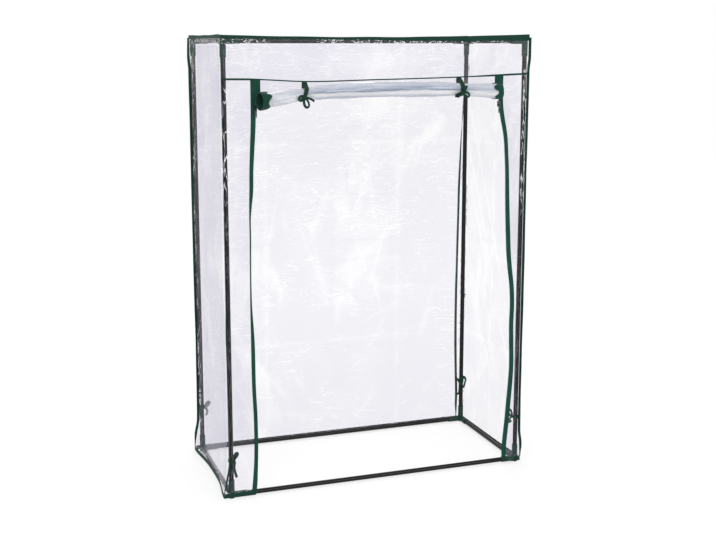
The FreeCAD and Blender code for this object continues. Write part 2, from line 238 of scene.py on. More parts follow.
def woven_tape(node, dark, light, thread):
    """Woven polyester tape: a twill of fine threads with a soft sheen. The UV map is in metres."""
    cloth = node("TexCoord").outputs["UV"]
    turned = node("Mapping", {"Vector": cloth, "Rotation": (0, 0, math.radians(45))})
    # wave scale counts full waves per 2 pi / 20 of a unit, so this gives one rib for each thread
    waves = math.tau / 20 / thread
    rib, weft = (node("TexWave", inputs, bands_direction=way).outputs["Fac"] for way, inputs in (
        ("X", {"Vector": turned, "Scale": waves, "Distortion": 0.6, "Detail": 1.0}),
        ("Y", {"Vector": cloth, "Scale": waves * 0.7, "Distortion": 0.3})))
    weave = node("Math", {0: weft, 1: 0.4, 2: rib}, operation="MULTIPLY_ADD")
    fade = node("TexNoise", {"Vector": cloth, "Scale": 1 / 0.05, "Detail": 3.0})
    mixed = node("Math", {0: rib, 1: 0.45, 2: fade}, operation="MULTIPLY_ADD")
    colour = node("Mix", {"Factor": mixed, 6: srgb(dark), 7: srgb(light)}, data_type="RGBA")
    bump = node("Bump", {"Height": weave, "Strength": 0.45, "Distance": 0.25 * MM})
    return node("BsdfPrincipled", {
        "Base Color": colour, "Roughness": 0.75, "Specular IOR Level": 0.18,
        "Sheen Weight": 0.06, "Sheen Roughness": 0.4, "Normal": bump})


panel_film = new_finish("clear_vinyl_film", vinyl_film)
rolled_film = new_finish("rolled_vinyl_film", rolled_vinyl)
# baked powder paint: near black, half gloss, its orange peel coarser than life so that it shows
tube_paint = new_finish(
    "powder_coated_steel", hard_finish, "#0e0d10", "#18171b", (60 * MM, 4.0), (2.5 * MM, 2.0),
    (0.10, 0.20), (0.25, 0.2 * MM), IOR=1.30)
# injection moulded polypropylene: dark green and satin, duller on its spark-eroded grain
connector_plastic = new_finish(
    "moulded_polypropylene", hard_finish, "#0a271f", "#133b31", (25 * MM, 3.0), (1.2 * MM, 3.0),
    (0.40, 0.58), (0.3, 0.15 * MM), worn=True, IOR=1.38)
# dark green twills with each tape's thickness: bottle green binding, bluer zip tape, finer ribbon
TAPES = {
    "binding_tape": (1.0 * MM, new_finish("woven_binding_tape", woven_tape, "#08221a", "#113b31", 1.6 * MM)),
    "zip_tape": (0.7 * MM, new_finish("woven_zip_tape", woven_tape, "#062a21", "#0f4436", 1.4 * MM)),
    "tie_ribbon": (0.8 * MM, new_finish("woven_tie_ribbon", woven_tape, "#08231a", "#133a2c", 1.2 * MM)),
}
# glossy coil, matt thread, and a slider whose lacquer lets a little metal through
coil_nylon = new_finish("drawn_nylon_coil", small_part, "#08271b", "#114232", 1.5 * MM, 0.35)
thread_polyester = new_finish("spun_polyester_thread", small_part, "#0d3327", "#1a4a3c", 0.5 * MM, 0.7)
slider_lacquer = new_finish("lacquered_zinc", small_part, "#0f1f18", "#21382f", 2.0 * MM, 0.32, Metallic=0.25)


# Meshes

def along(at, table):
    """A value that runs smoothly through (place, value) pairs."""
    x, y = np.array(sorted(table), float).T
    at = np.clip(at, x[0], x[-1])
    slope = np.gradient(y, x)
    i = np.clip(np.searchsorted(x, at) - 1, 0, len(x) - 2)
    h = x[i + 1] - x[i]
    t = (at - x[i]) / h
    return ((1 + 2 * t) * (1 - t) ** 2 * y[i] + t * (1 - t) ** 2 * h * slope[i]
            + t * t * (3 - 2 * t) * y[i + 1] + t * t * (t - 1) * h * slope[i + 1])


def ease(value, low, high):
    """0 below low, 1 above high, and a smooth step between."""
    t = np.clip((value - low) / (high - low), 0, 1)
    return t * t * (3 - 2 * t)


def unit(vectors):
    """Vectors of length 1."""
    return vectors / np.maximum(np.linalg.norm(vectors, axis=-1, keepdims=True), 1e-12)


def spots(x, y, z):
    """Points from coordinates, of which some may be one for all."""
    return np.stack(np.broadcast_arrays(x, y, z), axis=-1)


def smooth_path(points, count):
    """Points along a smooth curve through a few placed ones."""
    at = np.linspace(0, len(points) - 1, count)
    return spots(*(along(at, enumerate(way)) for way in np.transpose(points)))


def normals(grid):
    """Normals of a grid of points: along the rows crossed with along the columns."""
    return unit(np.cross(np.gradient(grid, axis=1), np.gradient(grid, axis=0)))


def grid_uv(grid):
    """Distances in metres across a grid's columns and along its rows, a pair for each point."""
    over, down = (np.linalg.norm(np.diff(grid, axis=way, prepend=grid.take([0], way)), axis=-1) for way in (1, 0))
    return np.stack([over.cumsum(1), down.cumsum(0)], axis=-1).reshape(-1, 2)


def quads(grid):
    """Numbers of a grid's points, and its faces, wound so that they face along normals."""
    index = np.arange(grid.size // 3).reshape(grid.shape[:2])
    corners = index[:-1, :-1], index[:-1, 1:], index[1:, 1:], index[1:, :-1]
    return index, np.stack(corners, axis=-1).reshape(-1, 4)


def put(name, data):
    """A new object in the scene."""
    made = bpy.data.objects.new(name, data)
    scene.collection.objects.link(made)
    return made


def new_piece(name, points, faces, uv, material):
    """A mesh object at the origin with smooth faces and a UV map in metres."""
    mesh = bpy.data.meshes.new(name)
    mesh.from_pydata(points.tolist(), [], faces.tolist())
    mesh.materials.append(material)
    layer = mesh.uv_layers.new(name="cloth")
    layer.data.foreach_set("uv", uv[faces].astype(np.float32).ravel())
    mesh.shade_smooth()
    mesh.set_sharp_from_angle(angle=math.radians(50))
    return put(name, mesh)


FILM_HAZE, TUBE_HAZE = 0.08, 0.025  # milkiness of hanging film, and of film against a tube
CREASE = 2.6 * MM  # height of a crease that shows in full


def film_marks(grid, slack, haze=FILM_HAZE, pale=0.0, crease=1.1, beside=0.0, wrinkled=0.0):
    """What the film's finish reads at each point: creases, haze, where painted wrinkle glints spread, and painted
    glint lines by a post or rail.
    """
    x, y, z = np.moveaxis(np.abs(grid - (0, 0, (rail_low + rail_high) / 2)), -1, 0)
    rail = (rail_high - rail_low) / 2
    post_gap = np.hypot(x - post_x, y - post_y) - post_r
    rail_gap = np.minimum(np.hypot(y - post_y, z - rail), np.hypot(x - post_x, z - rail)) - post_r
    on_post, on_rail = (1 - ease(gap, 3.0 * MM, 8.0 * MM) for gap in (post_gap, rail_gap))
    behind, height = grid[..., 1], grid[..., 2]
    by_post = beside * ease(behind, back_y - 0.11, back_y - 0.02)
    before = beside * ease(behind, back_y - 0.16, back_y - 0.10)
    clear = np.maximum(1 - ease(np.minimum(post_gap, rail_gap), 7.0 * MM, 13.0 * MM), before)
    # on the front posts the painted glint lines show only above the middle, where the film is drawn tight
    tight = (0.08 + 0.92 * ease(height, 0.85, 1.05)) * (1 - ease(height, 1.37, 1.42))
    by_rail = beside * (1 - ease(height, 0.03, 0.06) + ease(height, roof_z - 0.04, roof_z - 0.02))
    return {"crease": np.clip(crease * slack / CREASE, 0, 1) + pale, "haze": haze + (TUBE_HAZE - haze) * clear,
            "wrinkled": wrinkled * ease(height, 0.65, 0.95),
            "on_post": np.maximum(on_post * np.where(behind < 0, tight, 1.0), by_post),
            "on_rail": np.maximum(on_rail, by_rail)}


def film_piece(name, grid, material, marks):
    """A single skin of film, with a value on each point for each of its marks."""
    piece = new_piece(name, grid.reshape(-1, 3), quads(grid)[1], grid_uv(grid), material)
    for mark, values in marks.items():
        layer = piece.data.attributes.new(mark, "FLOAT", "POINT")
        layer.data.foreach_set("value", values.astype(np.float32).ravel())
    return piece


def tape_piece(name, grids, thickness, material):
    """Closed strips of tape, each a grid of points given its thickness, in one mesh."""
    points, faces, uvs, count = [], [], [], 0
    for grid in grids:
        index, top = quads(grid)
        size = index.size
        shift = normals(grid) * thickness / 2
        rim = np.concatenate([index[0, :-1], index[:-1, -1], index[-1, :0:-1], index[:0:-1, 0]])
        step = np.roll(rim, -1)
        walls = np.stack([step, rim, rim + size, step + size], axis=-1)
        faces.append(np.concatenate([top, top[:, ::-1] + size, walls]) + count)
        points += [(grid + shift).reshape(-1, 3), (grid - shift).reshape(-1, 3)]
        uvs += [grid_uv(grid)] * 2
        count += 2 * size
    return new_piece(name, *map(np.concatenate, (points, faces, uvs)), material)


def ribbon(path, across, width):
    """The grid of a ribbon along a path, its width in the across directions."""
    half = unit(across) * np.asarray(width)[..., None] / 2
    return np.linspace(path - half, path + half, 3, axis=1)


# Slack of the cover

def creases(across, up, seed, count, height, width=14, reach=0.16):
    """Rise of random creases over a cut sheet. Their height and width are in millimetres."""
    draw = np.random.default_rng(seed)
    total = np.zeros_like(across)
    for _ in range(count):
        x, y = draw.uniform(0, across.max()), draw.uniform(0, up.max())
        turn = draw.normal(math.pi / 2, 0.7)
        length = draw.uniform(0.3, 1.0) * reach
        rise = draw.choice((-1, 1)) * draw.uniform(0.3, 1.0) * height * MM
        run = (across - x) * math.cos(turn) + (up - y) * math.sin(turn)
        off = -(across - x) * math.sin(turn) + (up - y) * math.cos(turn)
        total += rise * np.exp(-np.abs(off) / (width * MM * draw.uniform(0.5, 1.6))) * np.exp(-(run / length) ** 2)
    return total


def folds(at, places, height, width=9):
    """Rise of straight folds at some places along a sheet, up and down in turn."""
    return sum(height * MM * (-1) ** k * np.exp(-np.abs(at - p) / (width * MM)) for k, p in enumerate(places))


def sewn(across, up, room=0.05):
    """0 on a sheet's sewn edges, rising to 1 inside."""
    return ease(np.minimum.reduce([across, across.max() - across, up, up.max() - up]), 0.0, room)


def sheet_grid(*size):
    """Distances across and up a cut sheet on a grid, rows running up."""
    return np.meshgrid(*(np.linspace(0, side, max(3, round(side / FILM_STEP) + 1)) for side in size))


def seam_line(x):
    """Height of the header's seam, pulled down at the left tie and up at the right end."""
    return seam_z + MM * along(x, [(-0.53, 5.5), (-0.42, 4), (-0.262, -4), (-0.034, -1), (0.276, 5), (0.53, 14)])


def foot_flare(z):
    """How far the cover stands off at its lower corners, as a share."""
    return np.exp(-(np.maximum(z - hem_z, 0) / 0.075) ** 2)


front_left_flare, back_left_flare, front_right_flare = 17 * MM, 16 * MM, 5 * MM


def tuck(z, gap=0.0):
    """How far a corner seam, or film at a gap from it, is drawn in to its post between the connectors."""
    return 3 * MM * ease(z, 0.07, 0.12) * (1 - ease(z, 1.39, 1.435)) * np.exp(-(gap / (12 * MM)) ** 2)


def back_seam_wrap(z):
    """How far the right panel laps round the back post to its seam with the back panel."""
    return MM * along(z, [(0.0, 26), (0.12, 22.5), (0.20, 25.5), (0.36, 29), (0.75, 27), (1.0, 23), (1.23, 17),
                          (1.40, 8), (roof_z, 0.3)])


def left_side(across, z):
    """Left panel at a distance behind its front seam."""
    stand = foot_flare(z) * (front_left_flare * np.exp(-(across / 0.10) ** 2)
                             + back_left_flare * np.exp(-((cover_depth - across) / 0.12) ** 2))
    front, back = tuck(z, across), tuck(z, cover_depth - across)
    return spots(-cover_x - stand + front + back, front_y + across + front - back, z)


def back_side(share, z):
    """Back panel at a share of the way from its left seam to its right one."""
    left = -cover_x - back_left_flare * foot_flare(z) + tuck(z)
    run = (cover_x - back_seam_wrap(z) - left) * share
    return spots(left + run, back_y - tuck(z, run), z)


def right_side(share, z):
    """Right panel from its seam behind the back post, round the post and forward."""
    wrap = back_seam_wrap(z)
    bend = np.minimum(10.4 * MM, wrap)
    lap, arc = wrap - bend, bend * math.pi / 2
    length = lap + arc + cover_depth - bend
    run = share * length
    turn = np.clip((run - lap) / np.maximum(bend, 1e-6), 0, math.pi / 2)
    x = cover_x - wrap + np.minimum(run, lap) + bend * np.sin(turn)
    y = back_y - bend * (1 - np.cos(turn)) - np.maximum(run - lap - arc, 0)
    flare = front_right_flare * foot_flare(z) * np.exp(-((length - run) / 0.10) ** 2)
    drawn = tuck(z, length - run)
    return spots(x + flare - drawn, y + drawn, z)


POST_LAP = 18.5 * MM  # corner seam to where a strip leaves the post
STRIP_BEND = 12 * MM  # over which a strip turns from the post, and its zip tape from the strip

# (height, degrees) by which each front strip and its zip tape turn inwards
STRIP_TURNS = {
    -1: ([(0.0, 0), (0.028, 0), (0.08, 9), (0.20, 12), (0.27, 13), (0.35, 19), (0.45, 22), (0.56, 20), (0.69, 16),
          (0.80, 14), (0.90, 13), (1.0, 17), (1.08, 15), (1.145, 11), (1.24, 2), (1.40, 0)],
         [(0.0, 0), (0.028, 0), (0.08, 18), (0.20, 26), (0.35, 28), (0.497, 28), (0.561, 40), (0.626, 54), (0.69, 60),
          (0.772, 62), (0.853, 60), (0.934, 57), (0.967, 46), (1.015, 28), (1.08, 26), (1.145, 17), (1.242, 2),
          (1.40, 0)]),
    1: ([(0.0, -44), (0.053, -46), (0.105, -51), (0.175, -57), (0.245, -61), (0.314, -65), (0.384, -67), (0.454, -65),
         (0.524, -63), (0.593, -64), (0.663, -61), (0.716, -55), (0.768, -50), (0.838, -46), (0.942, -40), (1.10, -31),
         (1.187, -23), (1.235, -12), (1.275, -3), (1.31, 0), (1.40, 0)],
        [(0.0, 6), (0.2, 8), (0.4, 2), (0.6, -2), (0.8, 4), (1.18, -12), (1.26, 0), (1.40, 0)]),
}


def strip_points(side, z, run):
    """Front strip at heights z (rows) and distances run from its corner seam (columns). [:, ::-side] faces it out."""
    z = z[:, None]
    fine = np.linspace(0, run.max(), 160)
    tape_at = strip_width - tape_width
    on_tape = ease(fine, tape_at - STRIP_BEND, tape_at)
    body, zipped = (along(z, turns) for turns in STRIP_TURNS[side])
    angle = np.radians(ease(fine, POST_LAP, POST_LAP + STRIP_BEND) * ((1 - on_tape) * body + on_tape * zipped))
    step = fine[1] - fine[0]
    i = np.clip((run / step).astype(int), 0, len(fine) - 2)
    f = run / step - i
    flat = []
    for share in (np.cos(angle), np.sin(angle)):
        sums = np.pad(np.cumsum((share[:, :-1] + share[:, 1:]) / 2, 1), ((0, 0), (1, 0))) * step
        flat.append(sums[:, i] * (1 - f) + sums[:, i + 1] * f)
    corner = cover_x + (front_left_flare if side < 0 else front_right_flare) * foot_flare(z)
    drawn = tuck(z, run)
    # the right strip's foot is drawn up towards its zip
    lift = (26 * MM if side > 0 else 0) * np.exp(-z / 0.15) * ease(run, POST_LAP, strip_width)
    return spots(side * (corner - flat[0] - drawn), front_y + flat[1] + drawn, z + lift)


# Camera at the photograph's place, and a plain white studio

camera_data = bpy.data.cameras.new("camera")
camera_data.sensor_width = 36
camera_data.lens = 57.525
camera_data.shift_y = -0.03
turned, tilted = (Matrix.Rotation(math.radians(by), 4, axis) for by, axis in ((-19.295, "Z"), (90 - 10.153, "X")))
scene.camera = put("camera", camera_data)
scene.camera.matrix_world = Matrix.Translation((-1.31, -3.7561, 1.48)) @ turned @ tilted
scene.view_settings.view_transform = "Standard"
WHITE = (1, 1, 1, 1)


def seen_rays(node):
    """1 for rays that the eye follows: straight, mirrored or through glass."""
    rays = node("LightPath").outputs
    either = node("Math", {0: rays["Is Camera Ray"], 1: rays["Is Glossy Ray"]}, operation="MAXIMUM")
    return node("Math", {0: either, 1: rays["Is Transmission Ray"]}, operation="MAXIMUM")


def studio_light(node):
    """White to the eye, and a softer even light on the object."""
    level = node("MapRange", {"Value": seen_rays(node), "To Min": 0.72, "To Max": 1.0})
    return node("Background", {"Color": WHITE, "Strength": level})


def studio_paper(node):
    """White to the eye, with a faint shadow near the object."""
    matt = node("BsdfDiffuse", {"Color": srgb("#fbfbfb")})
    away = node("VectorMath", {0: node("TexCoord").outputs["Object"]}, operation="LENGTH").outputs["Value"]
    fading = node("MapRange", {"Value": away, "From Min": 3.0, "From Max": 13.0, "To Min": 1.05, "To Max": 1.0})
    white = node("Emission", {"Color": WHITE, "Strength": fading})
    plain = node("MapRange", {"Value": away, "From Min": 0.9, "From Max": 2.6, "To Min": 0.66, "To Max": 1.0})
    share = node("Math", {0: seen_rays(node), 1: plain}, operation="MULTIPLY")
    return node("MixShader", {"Fac": share, 1: matt, 2: white})


def soft_box(name, place, aim, size, power):
    """A large soft lamp."""
    data = bpy.data.lights.new(name, "AREA")
    data.shape = "RECTANGLE"
    data.size, data.size_y = size
    data.energy = power
    lamp = put(name, data)
    lamp.location = place
    lamp.rotation_euler = (Vector(aim) - Vector(place)).to_track_quat("-Z", "Y").to_euler()


scene.world = new_finish("studio", studio_light, kind="World")
floor = bpy.data.meshes.new("studio_floor")
half = 14.0
floor.from_pydata([(-half, -half, 0), (half, -half, 0), (half, half, 0), (-half, half, 0)], [], [(0, 1, 2, 3)])
floor.materials.append(new_finish("studio_paper", studio_paper))
put("studio_floor", floor)
soft_box("key_lamp", (-2.6, -3.2, 3.4), (0, 0, 0.7), (1.6, 1.6), 62)
soft_box("fill_lamp", (1.3, -3.7, 1.5), (0, 0, 0.6), (2.4, 0.8), 34)
soft_box("back_lamp", (0.6, 3.2, 3.2), (0, 0, 0.7), (2.4, 1.4), 40)


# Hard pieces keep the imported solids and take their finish

hard_pieces = {"post_": tube_paint, "_rail_": tube_paint, "connector": connector_plastic,
               "slider": slider_lacquer, "pull": slider_lacquer}
for name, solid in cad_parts.items():
    for word, finish in hard_pieces.items():
        if word in name:
            solid.data.materials.clear()
            solid.data.materials.append(finish)


def set_on(piece, slot, *replaced, body="frame"):
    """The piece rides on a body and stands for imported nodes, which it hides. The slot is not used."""
    if body:
        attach(piece, body)
    if replaced:
        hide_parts(*replaced)
    return piece


def tape(slot, name, grids, *replaced, body="frame"):
    """A piece of one of the tapes, set on."""
    return set_on(tape_piece(name, grids, *TAPES[slot]), slot, *replaced, body=body)


# Film panels

FOLDED_ACROSS, FOLDED_UP = (0.27, 0.53, 0.80), (0.37, 0.75, 1.12)  # where the cover was folded for its packet


def roof_edge(share):
    """Height of the roof's edge along a side, sagging between the corners."""
    return roof_z - 2.4 * MM * (1 - (2 * share - 1) ** 2)


def hung_slack(across, up, seed, fine, broad, folded, heights):
    """Creases of a hung panel: the fine ones with its packing folds, and the broad ones."""
    packed = folds(across, folded, heights[0]) + folds(up, FOLDED_UP, heights[1])
    return creases(across, up, seed, *fine) + packed, creases(across, up, seed + 1, *broad, 0.5)


def stand_off(slack, inside):
    """How far slack film stands off its plane, with little of it inwards."""
    return np.maximum(slack * inside, -1.5 * MM)


def back_film():
    """Back panel: packing folds, fine creases and a slow billow between the posts."""
    across, up = sheet_grid(cover_width, panel_height)
    share = across / cover_width
    base = back_side(share, hem_z + up * (roof_edge(share) - hem_z) / panel_height)
    fine, broad = hung_slack(across, up, 11, (170, 2.6, 9), (16, 6, 60), FOLDED_ACROSS, (1.8, 1.5))
    base[..., 1] += stand_off(fine + broad, sewn(across, up)) + 5 * MM * sewn(across, up, 0.4)
    return base[:, ::-1], (fine + 0.4 * broad)[:, ::-1]


def left_film():
    """Left panel, standing off at its lower corners."""
    across, up = sheet_grid(cover_depth, panel_height)
    base = left_side(across, hem_z + up)
    slack = sum(hung_slack(across, up, 21, (90, 3.0), (12, 7, 50), (0.245,), (2.2, 1.8)))
    base[..., 0] -= stand_off(slack, sewn(across, up)) + 4 * MM * sewn(across, up, 0.2)
    return base[:, ::-1], slack[:, ::-1]


def right_film():
    """Right panel, lapped round the back post."""
    around = cover_depth + 18 * MM
    across, up = sheet_grid(around, panel_height)
    base = right_side(across / around, hem_z + up)
    fine, broad = hung_slack(across, up, 31, (90, 2.6, 10), (12, 6, 50), (0.26,), (2.0, 1.8))
    # drawn tight from high on the back post to low on the front one
    fine += folds((up + 2.1 * across) / 2.33, (0.57, 0.44, 0.505, 0.36), 2.4, 6)
    inside = sewn(across, up) * ease(across, 0.05, 0.11)
    base[..., 0] += stand_off(fine + broad, inside) + 3 * MM * inside
    return base[:, ::-1], (fine + 0.3 * broad)[:, ::-1]


def roof_film():
    """Roof panel, sagging between the rails."""
    across, up = sheet_grid(cover_width, cover_depth)
    slack = creases(across, up, 41, 60, 2.4) + folds(across, FOLDED_ACROSS, 1.6)
    z = roof_edge(across / cover_width) + slack * sewn(across, up) - 7 * MM * sewn(across, up, 0.25)
    return spots(across - cover_x, front_y + up, z), slack


def header_film():
    """Header over the doorway."""
    across, up = sheet_grid(cover_width, roof_z - seam_z)
    bottom = seam_line(across - cover_x)
    z = bottom + (roof_edge(across / cover_width) - bottom) * up / (roof_z - seam_z)
    slack = creases(across, up, 51, 70, 2.2, 12, 0.09)
    return spots(across - cover_x, front_y - stand_off(slack, sewn(across, up, 0.03)), z), slack


def strip_top(side):
    """Height of the header's seam over a front strip."""
    return seam_line(side * (cover_x - strip_width / 2))


def strip_film(side):
    """Front strip beside the doorway, swung off its plane by the film's own curl."""
    run = np.concatenate([np.linspace(0, 24 * MM, 9), np.linspace(24 * MM, strip_width, 17)[1:]])
    z = hem_z + (strip_top(side) - hem_z) * np.linspace(0, 1, 200)
    across, height = np.meshgrid(run, z)
    slack = creases(across, height, 61 if side < 0 else 62, 50, 2.2, 12, 0.12)
    grid = strip_points(side, z, run)[:, ::-side]
    slack = (slack * sewn(across, height, 0.03))[:, ::-side]
    return grid + normals(grid) * slack[..., None], slack


# the pale offset of each panel is painted light: it makes a whole panel paler or darker for how light falls on it
for name, (grid, slack), flat, held, rests, looks in (
    ("back_panel", back_film(), (1.061, 1.496), "hung", ["roof_binding"],
     {"pale": -0.18, "crease": 0.75, "wrinkled": 1.0}),
    ("left_panel", left_film(), (0.491, 1.496), "hung", ["roof_binding"], {"haze": 0.36, "beside": 0.9}),
    ("right_panel", right_film(), (0.491, 1.496), "hung", ["roof_binding"], {"pale": 0.22, "crease": 0.75}),
    ("roof_panel", roof_film(), (1.061, 0.491), "laid", ["top_rail_front_left", "top_rail_back_left"], {}),
    ("front_header", header_film(), (1.061, 0.134), "hung", ["roof_binding"], {"haze": 0.06, "pale": 0.15}),
    ("front_left_strip", strip_film(-1), (0.107, 1.362), "hung", ["front_header"], {"haze": 0.05, "pale": 0.3}),
    ("front_right_strip", strip_film(1), (0.107, 1.362), "hung", ["front_header"], {}),
):
    film = film_piece(f"film_{name}", grid, panel_film, film_marks(grid, slack, **looks))
    piece = set_on(film, "clear_film", name)
    if "strip" in name:
        side = "left" if "left" in name else "right"
        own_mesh(piece)


# Bindings

def roof_fins():
    """Standing seams round the roof, lower in the middle of the long sides."""
    share = np.linspace(0, 1, 90)
    lap, stand = 4.5 * MM, fin_top - roof_z
    grids = []
    for y, out, lift, sag in ((front_y, -1, 4, 5.5), (back_y, 1, 0, 4)):
        x = (2 * share - 1) * (cover_x + 0.5 * MM)
        edge = roof_edge(share)
        ripple = 0.6 * MM * np.sin(share * 31) * np.sin(share * math.pi)
        over = lap + (6 * MM * ease(share, 0.25, 0.8) if out < 0 else 0)
        top = edge + stand + ripple + MM * (lift * (share - 0.5) - sag * (1 - (2 * share - 1) ** 2) - 1)
        lean = out * MM * (1.2 + np.sin(share * 23) ** 2)
        foot = spots(x, y + out * 0.8 * MM, edge - over + ripple)
        grids.append(np.linspace(foot, spots(x, y + lean, top), 4, axis=1))
    for side in (-1, 1):
        x = side * (cover_x + 0.8 * MM)
        y = front_y + share * cover_depth
        top = fin_top + MM * (0.5 * np.sin(share * 17) - 1.5 * np.sin(share * math.pi) - 1.5)
        lean = side * MM * (0.4 + 0.8 * np.sin(share * 13) ** 2)
        grids.append(np.linspace(spots(x, y, roof_z - lap), spots(x + lean, y, top), 4, axis=1))
    return grids


FIN_WIDTH = 9 * MM
# side, face, flare at the foot, and the way that the seam points in degrees at some heights
corner_fins = {
    "front_left": (-1, -1, front_left_flare, [(0.0, 285), (0.10, 280), (0.22, 264), (1.3, 264), (roof_z, 262)]),
    "front_right": (1, -1, front_right_flare, [(0.0, 312), (0.1, 306), (0.7, 298), (roof_z, 302)]),
    "back_left": (-1, 1, back_left_flare, [(0.0, 118), (0.12, 165), (0.8, 168), (1.36, 165), (roof_z, 125)]),
    "back_right": (1, 1, 0.0, [(0.0, 125), (0.75, 118), (1.05, 95), (1.2, 60), (roof_z, 45)]),
}


def corner_fin(side, face, flare, turns, phase):
    """A sewn seam that stands out from a corner of the cover and sways on its way up."""
    z = np.linspace(hem_top, roof_z, 150)
    turn = np.radians(along(z, turns) + 7 * np.sin(z * 9 + phase) + 3 * np.sin(z * 31 + 2 * phase))
    if side > 0 and face > 0:
        foot = spots(cover_x - back_seam_wrap(z), back_y, z)
    else:
        plane = front_y if face < 0 else back_y
        foot = spots(side * (cover_x + flare * foot_flare(z) - tuck(z)), plane - face * tuck(z), z)
    out = spots(np.cos(turn), np.sin(turn), 0)
    width = FIN_WIDTH * (0.3 + 0.7 * ease(z, hem_top, 0.07))[:, None]
    return np.linspace(foot - out * MM, foot + out * width, 4, axis=1)


STAND_OUT = 0.7 * MM  # hem tape from the film, and stitches from their tape


def hem_grids():
    """Tape round the lower edge of the cover, on its outside."""
    levels = np.linspace(hem_z, hem_top, 3)
    behind = np.linspace(0, cover_depth, 90)
    share = np.linspace(0, 1, 120)
    left, back, right = (place(at[:, None], levels) for place, at in (
        (left_side, behind), (back_side, share), (right_side, share)))
    grids = [left - (STAND_OUT, 0, 0), back + (0, STAND_OUT, 0), right - normals(right) * STAND_OUT]
    for side in (-1, 1):
        strip = strip_points(side, levels, np.linspace(0, strip_width, 24))[:, ::-side]
        grids.append((strip + normals(strip) * STAND_OUT).transpose(1, 0, 2))
    return grids


def header_tape():
    """Narrow tape along the header's seam."""
    x = np.linspace(-cover_x, cover_x, 160)
    half = 2 * MM + 1.2 * MM * (ease(-x, 0.38, 0.46) + ease(x, 0.30, 0.42))
    low, high = (spots(x, front_y - 0.8 * MM, seam_line(x) + way * half) for way in (-1, 1))
    return np.linspace(low, high, 3, axis=1)


binding = partial(tape, "binding_tape")
fins = roof_fins()
binding("roof_seam_binding", fins, "roof_binding")
for number, (corner, facts) in enumerate(corner_fins.items()):
    binding(f"corner_seam_{corner}", [corner_fin(*facts, 1.7 * number)], f"corner_binding_{corner}")
hems = hem_grids()
binding("hem_tape", hems[:3], "hem_binding")
for (_, side), grid in zip(SIDES, hems[3:]):
    piece = binding(f"hem_tape_{side}_strip", [grid])
    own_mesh(piece)
binding("header_seam_tape", [header_tape()], "header_binding")


# Rows of small parts: zip teeth and stitches

TEETH = {"Pitch": 2.4 * MM, "Width": 2.8 * MM, "Height": 1.9 * MM, "Length": 1.5 * MM}
STITCHES = {"Pitch": 4.6 * MM, "Width": 0.8 * MM, "Height": 0.8 * MM, "Length": 3.6 * MM}


def seam_row_tree():
    """Geometry nodes that set one small rounded part after another along a line."""
    tree = bpy.data.node_groups.new("seam_row", "GeometryNodeTree")
    sockets = [("Geometry", "INPUT", "Geometry"), *((size, "INPUT", "Float") for size in TEETH),
               ("Finish", "INPUT", "Material"), ("Geometry", "OUTPUT", "Geometry")]
    for label, way, kind in sockets:
        tree.interface.new_socket(label, in_out=way, socket_type=f"NodeSocket{kind}")
    node = partial(add, tree)
    given = node("NodeGroupInput").outputs
    line = node("GeometryNodeMeshToCurve", {"Mesh": given["Geometry"]})
    spaced = node("GeometryNodeResampleCurve", {"Curve": line, "Length": given["Pitch"]}, mode="LENGTH")
    heading = node("GeometryNodeInputTangent")
    turn = node("FunctionNodeAlignRotationToVector", {"Vector": heading}, axis="Z", pivot_axis="X")
    size = node("CombineXYZ", {"X": given["Width"], "Y": given["Height"], "Z": given["Length"]})
    part = node("GeometryNodeMeshUVSphere", {"Segments": 6, "Rings": 5, "Radius": 0.5})
    row = node("GeometryNodeInstanceOnPoints", {"Points": spaced, "Instance": part, "Rotation": turn, "Scale": size})
    real = node("GeometryNodeRealizeInstances", {"Geometry": row})
    smooth = node("GeometryNodeSetShadeSmooth", {"Geometry": real})
    dressed = node("GeometryNodeSetMaterial", {"Geometry": smooth, "Material": given["Finish"]})
    node("NodeGroupOutput", {"Geometry": dressed})
    return tree


seam_row = seam_row_tree()


def row_along(name, lines, finish, sizes):
    """A plain mesh of small parts along some lines of points."""
    ends = np.cumsum([len(line) for line in lines])
    edges = [(k, k + 1) for k in range(ends[-1]) if k + 1 not in ends]
    mesh = bpy.data.meshes.new(name)
    mesh.from_pydata(np.concatenate(lines).tolist(), edges, [])
    guide = put(name, mesh)
    modifier = guide.modifiers.new("row", "NODES")
    modifier.node_group = seam_row
    given = {"Finish": finish, **sizes}
    for item in seam_row.interface.items_tree:
        if item.name in given:
            modifier[item.identifier] = given[item.name]
    evaluated = guide.evaluated_get(bpy.context.evaluated_depsgraph_get())
    guide.data = bpy.data.meshes.new_from_object(evaluated)
    guide.modifiers.clear()
    guide.data.name = name
    return guide


def zip_pair(name, grid, line, *replaced, body="frame"):
    """Half a zip, set on: its tape, and the teeth along a line."""
    return [tape("zip_tape", f"{name}_tape", [grid], *replaced, body=body),
            set_on(row_along(f"{name}_teeth", [line], coil_nylon, TEETH), "zip_tape", body=body)]


# Zips on the strips

tape_from, tape_to = cover_x + strip_tape_box[:, 0]

for side, word in SIDES:
    z = np.linspace(hem_top - 6 * MM, strip_top(side) - MM, 240)
    strip = strip_points(side, z, np.linspace(tape_from, tape_to, 5))
    grid = strip[:, ::-side] + normals(strip[:, ::-side]) * 0.8 * MM
    for piece in zip_pair(f"{word}_strip_zip", grid, strip[:, -1], f"{word}_strip_zip"):
        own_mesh(piece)


# Rolled door

TURNS, TURN_POINTS = 14, 28
END_BEND = -0.375  # where the roll's left end turns to the front
roll_core = 4.1 * MM


def roll_girth(x):
    """Share of the roll's full radius: drawn in under the ties, loose at the ends."""
    return along(x, [(-0.425, 1.12), (-0.402, 1.10), (-0.378, 0.94), (-0.33, 0.88), (-0.29, 0.83), (-0.265, 0.76),
                     (-0.23, 0.90), (-0.18, 0.98), (0.0, 1.0), (0.18, 0.98), (0.245, 0.88), (0.277, 0.78),
                     (0.31, 0.87), (0.36, 0.94), (0.396, 1.0), (0.425, 1.02)])


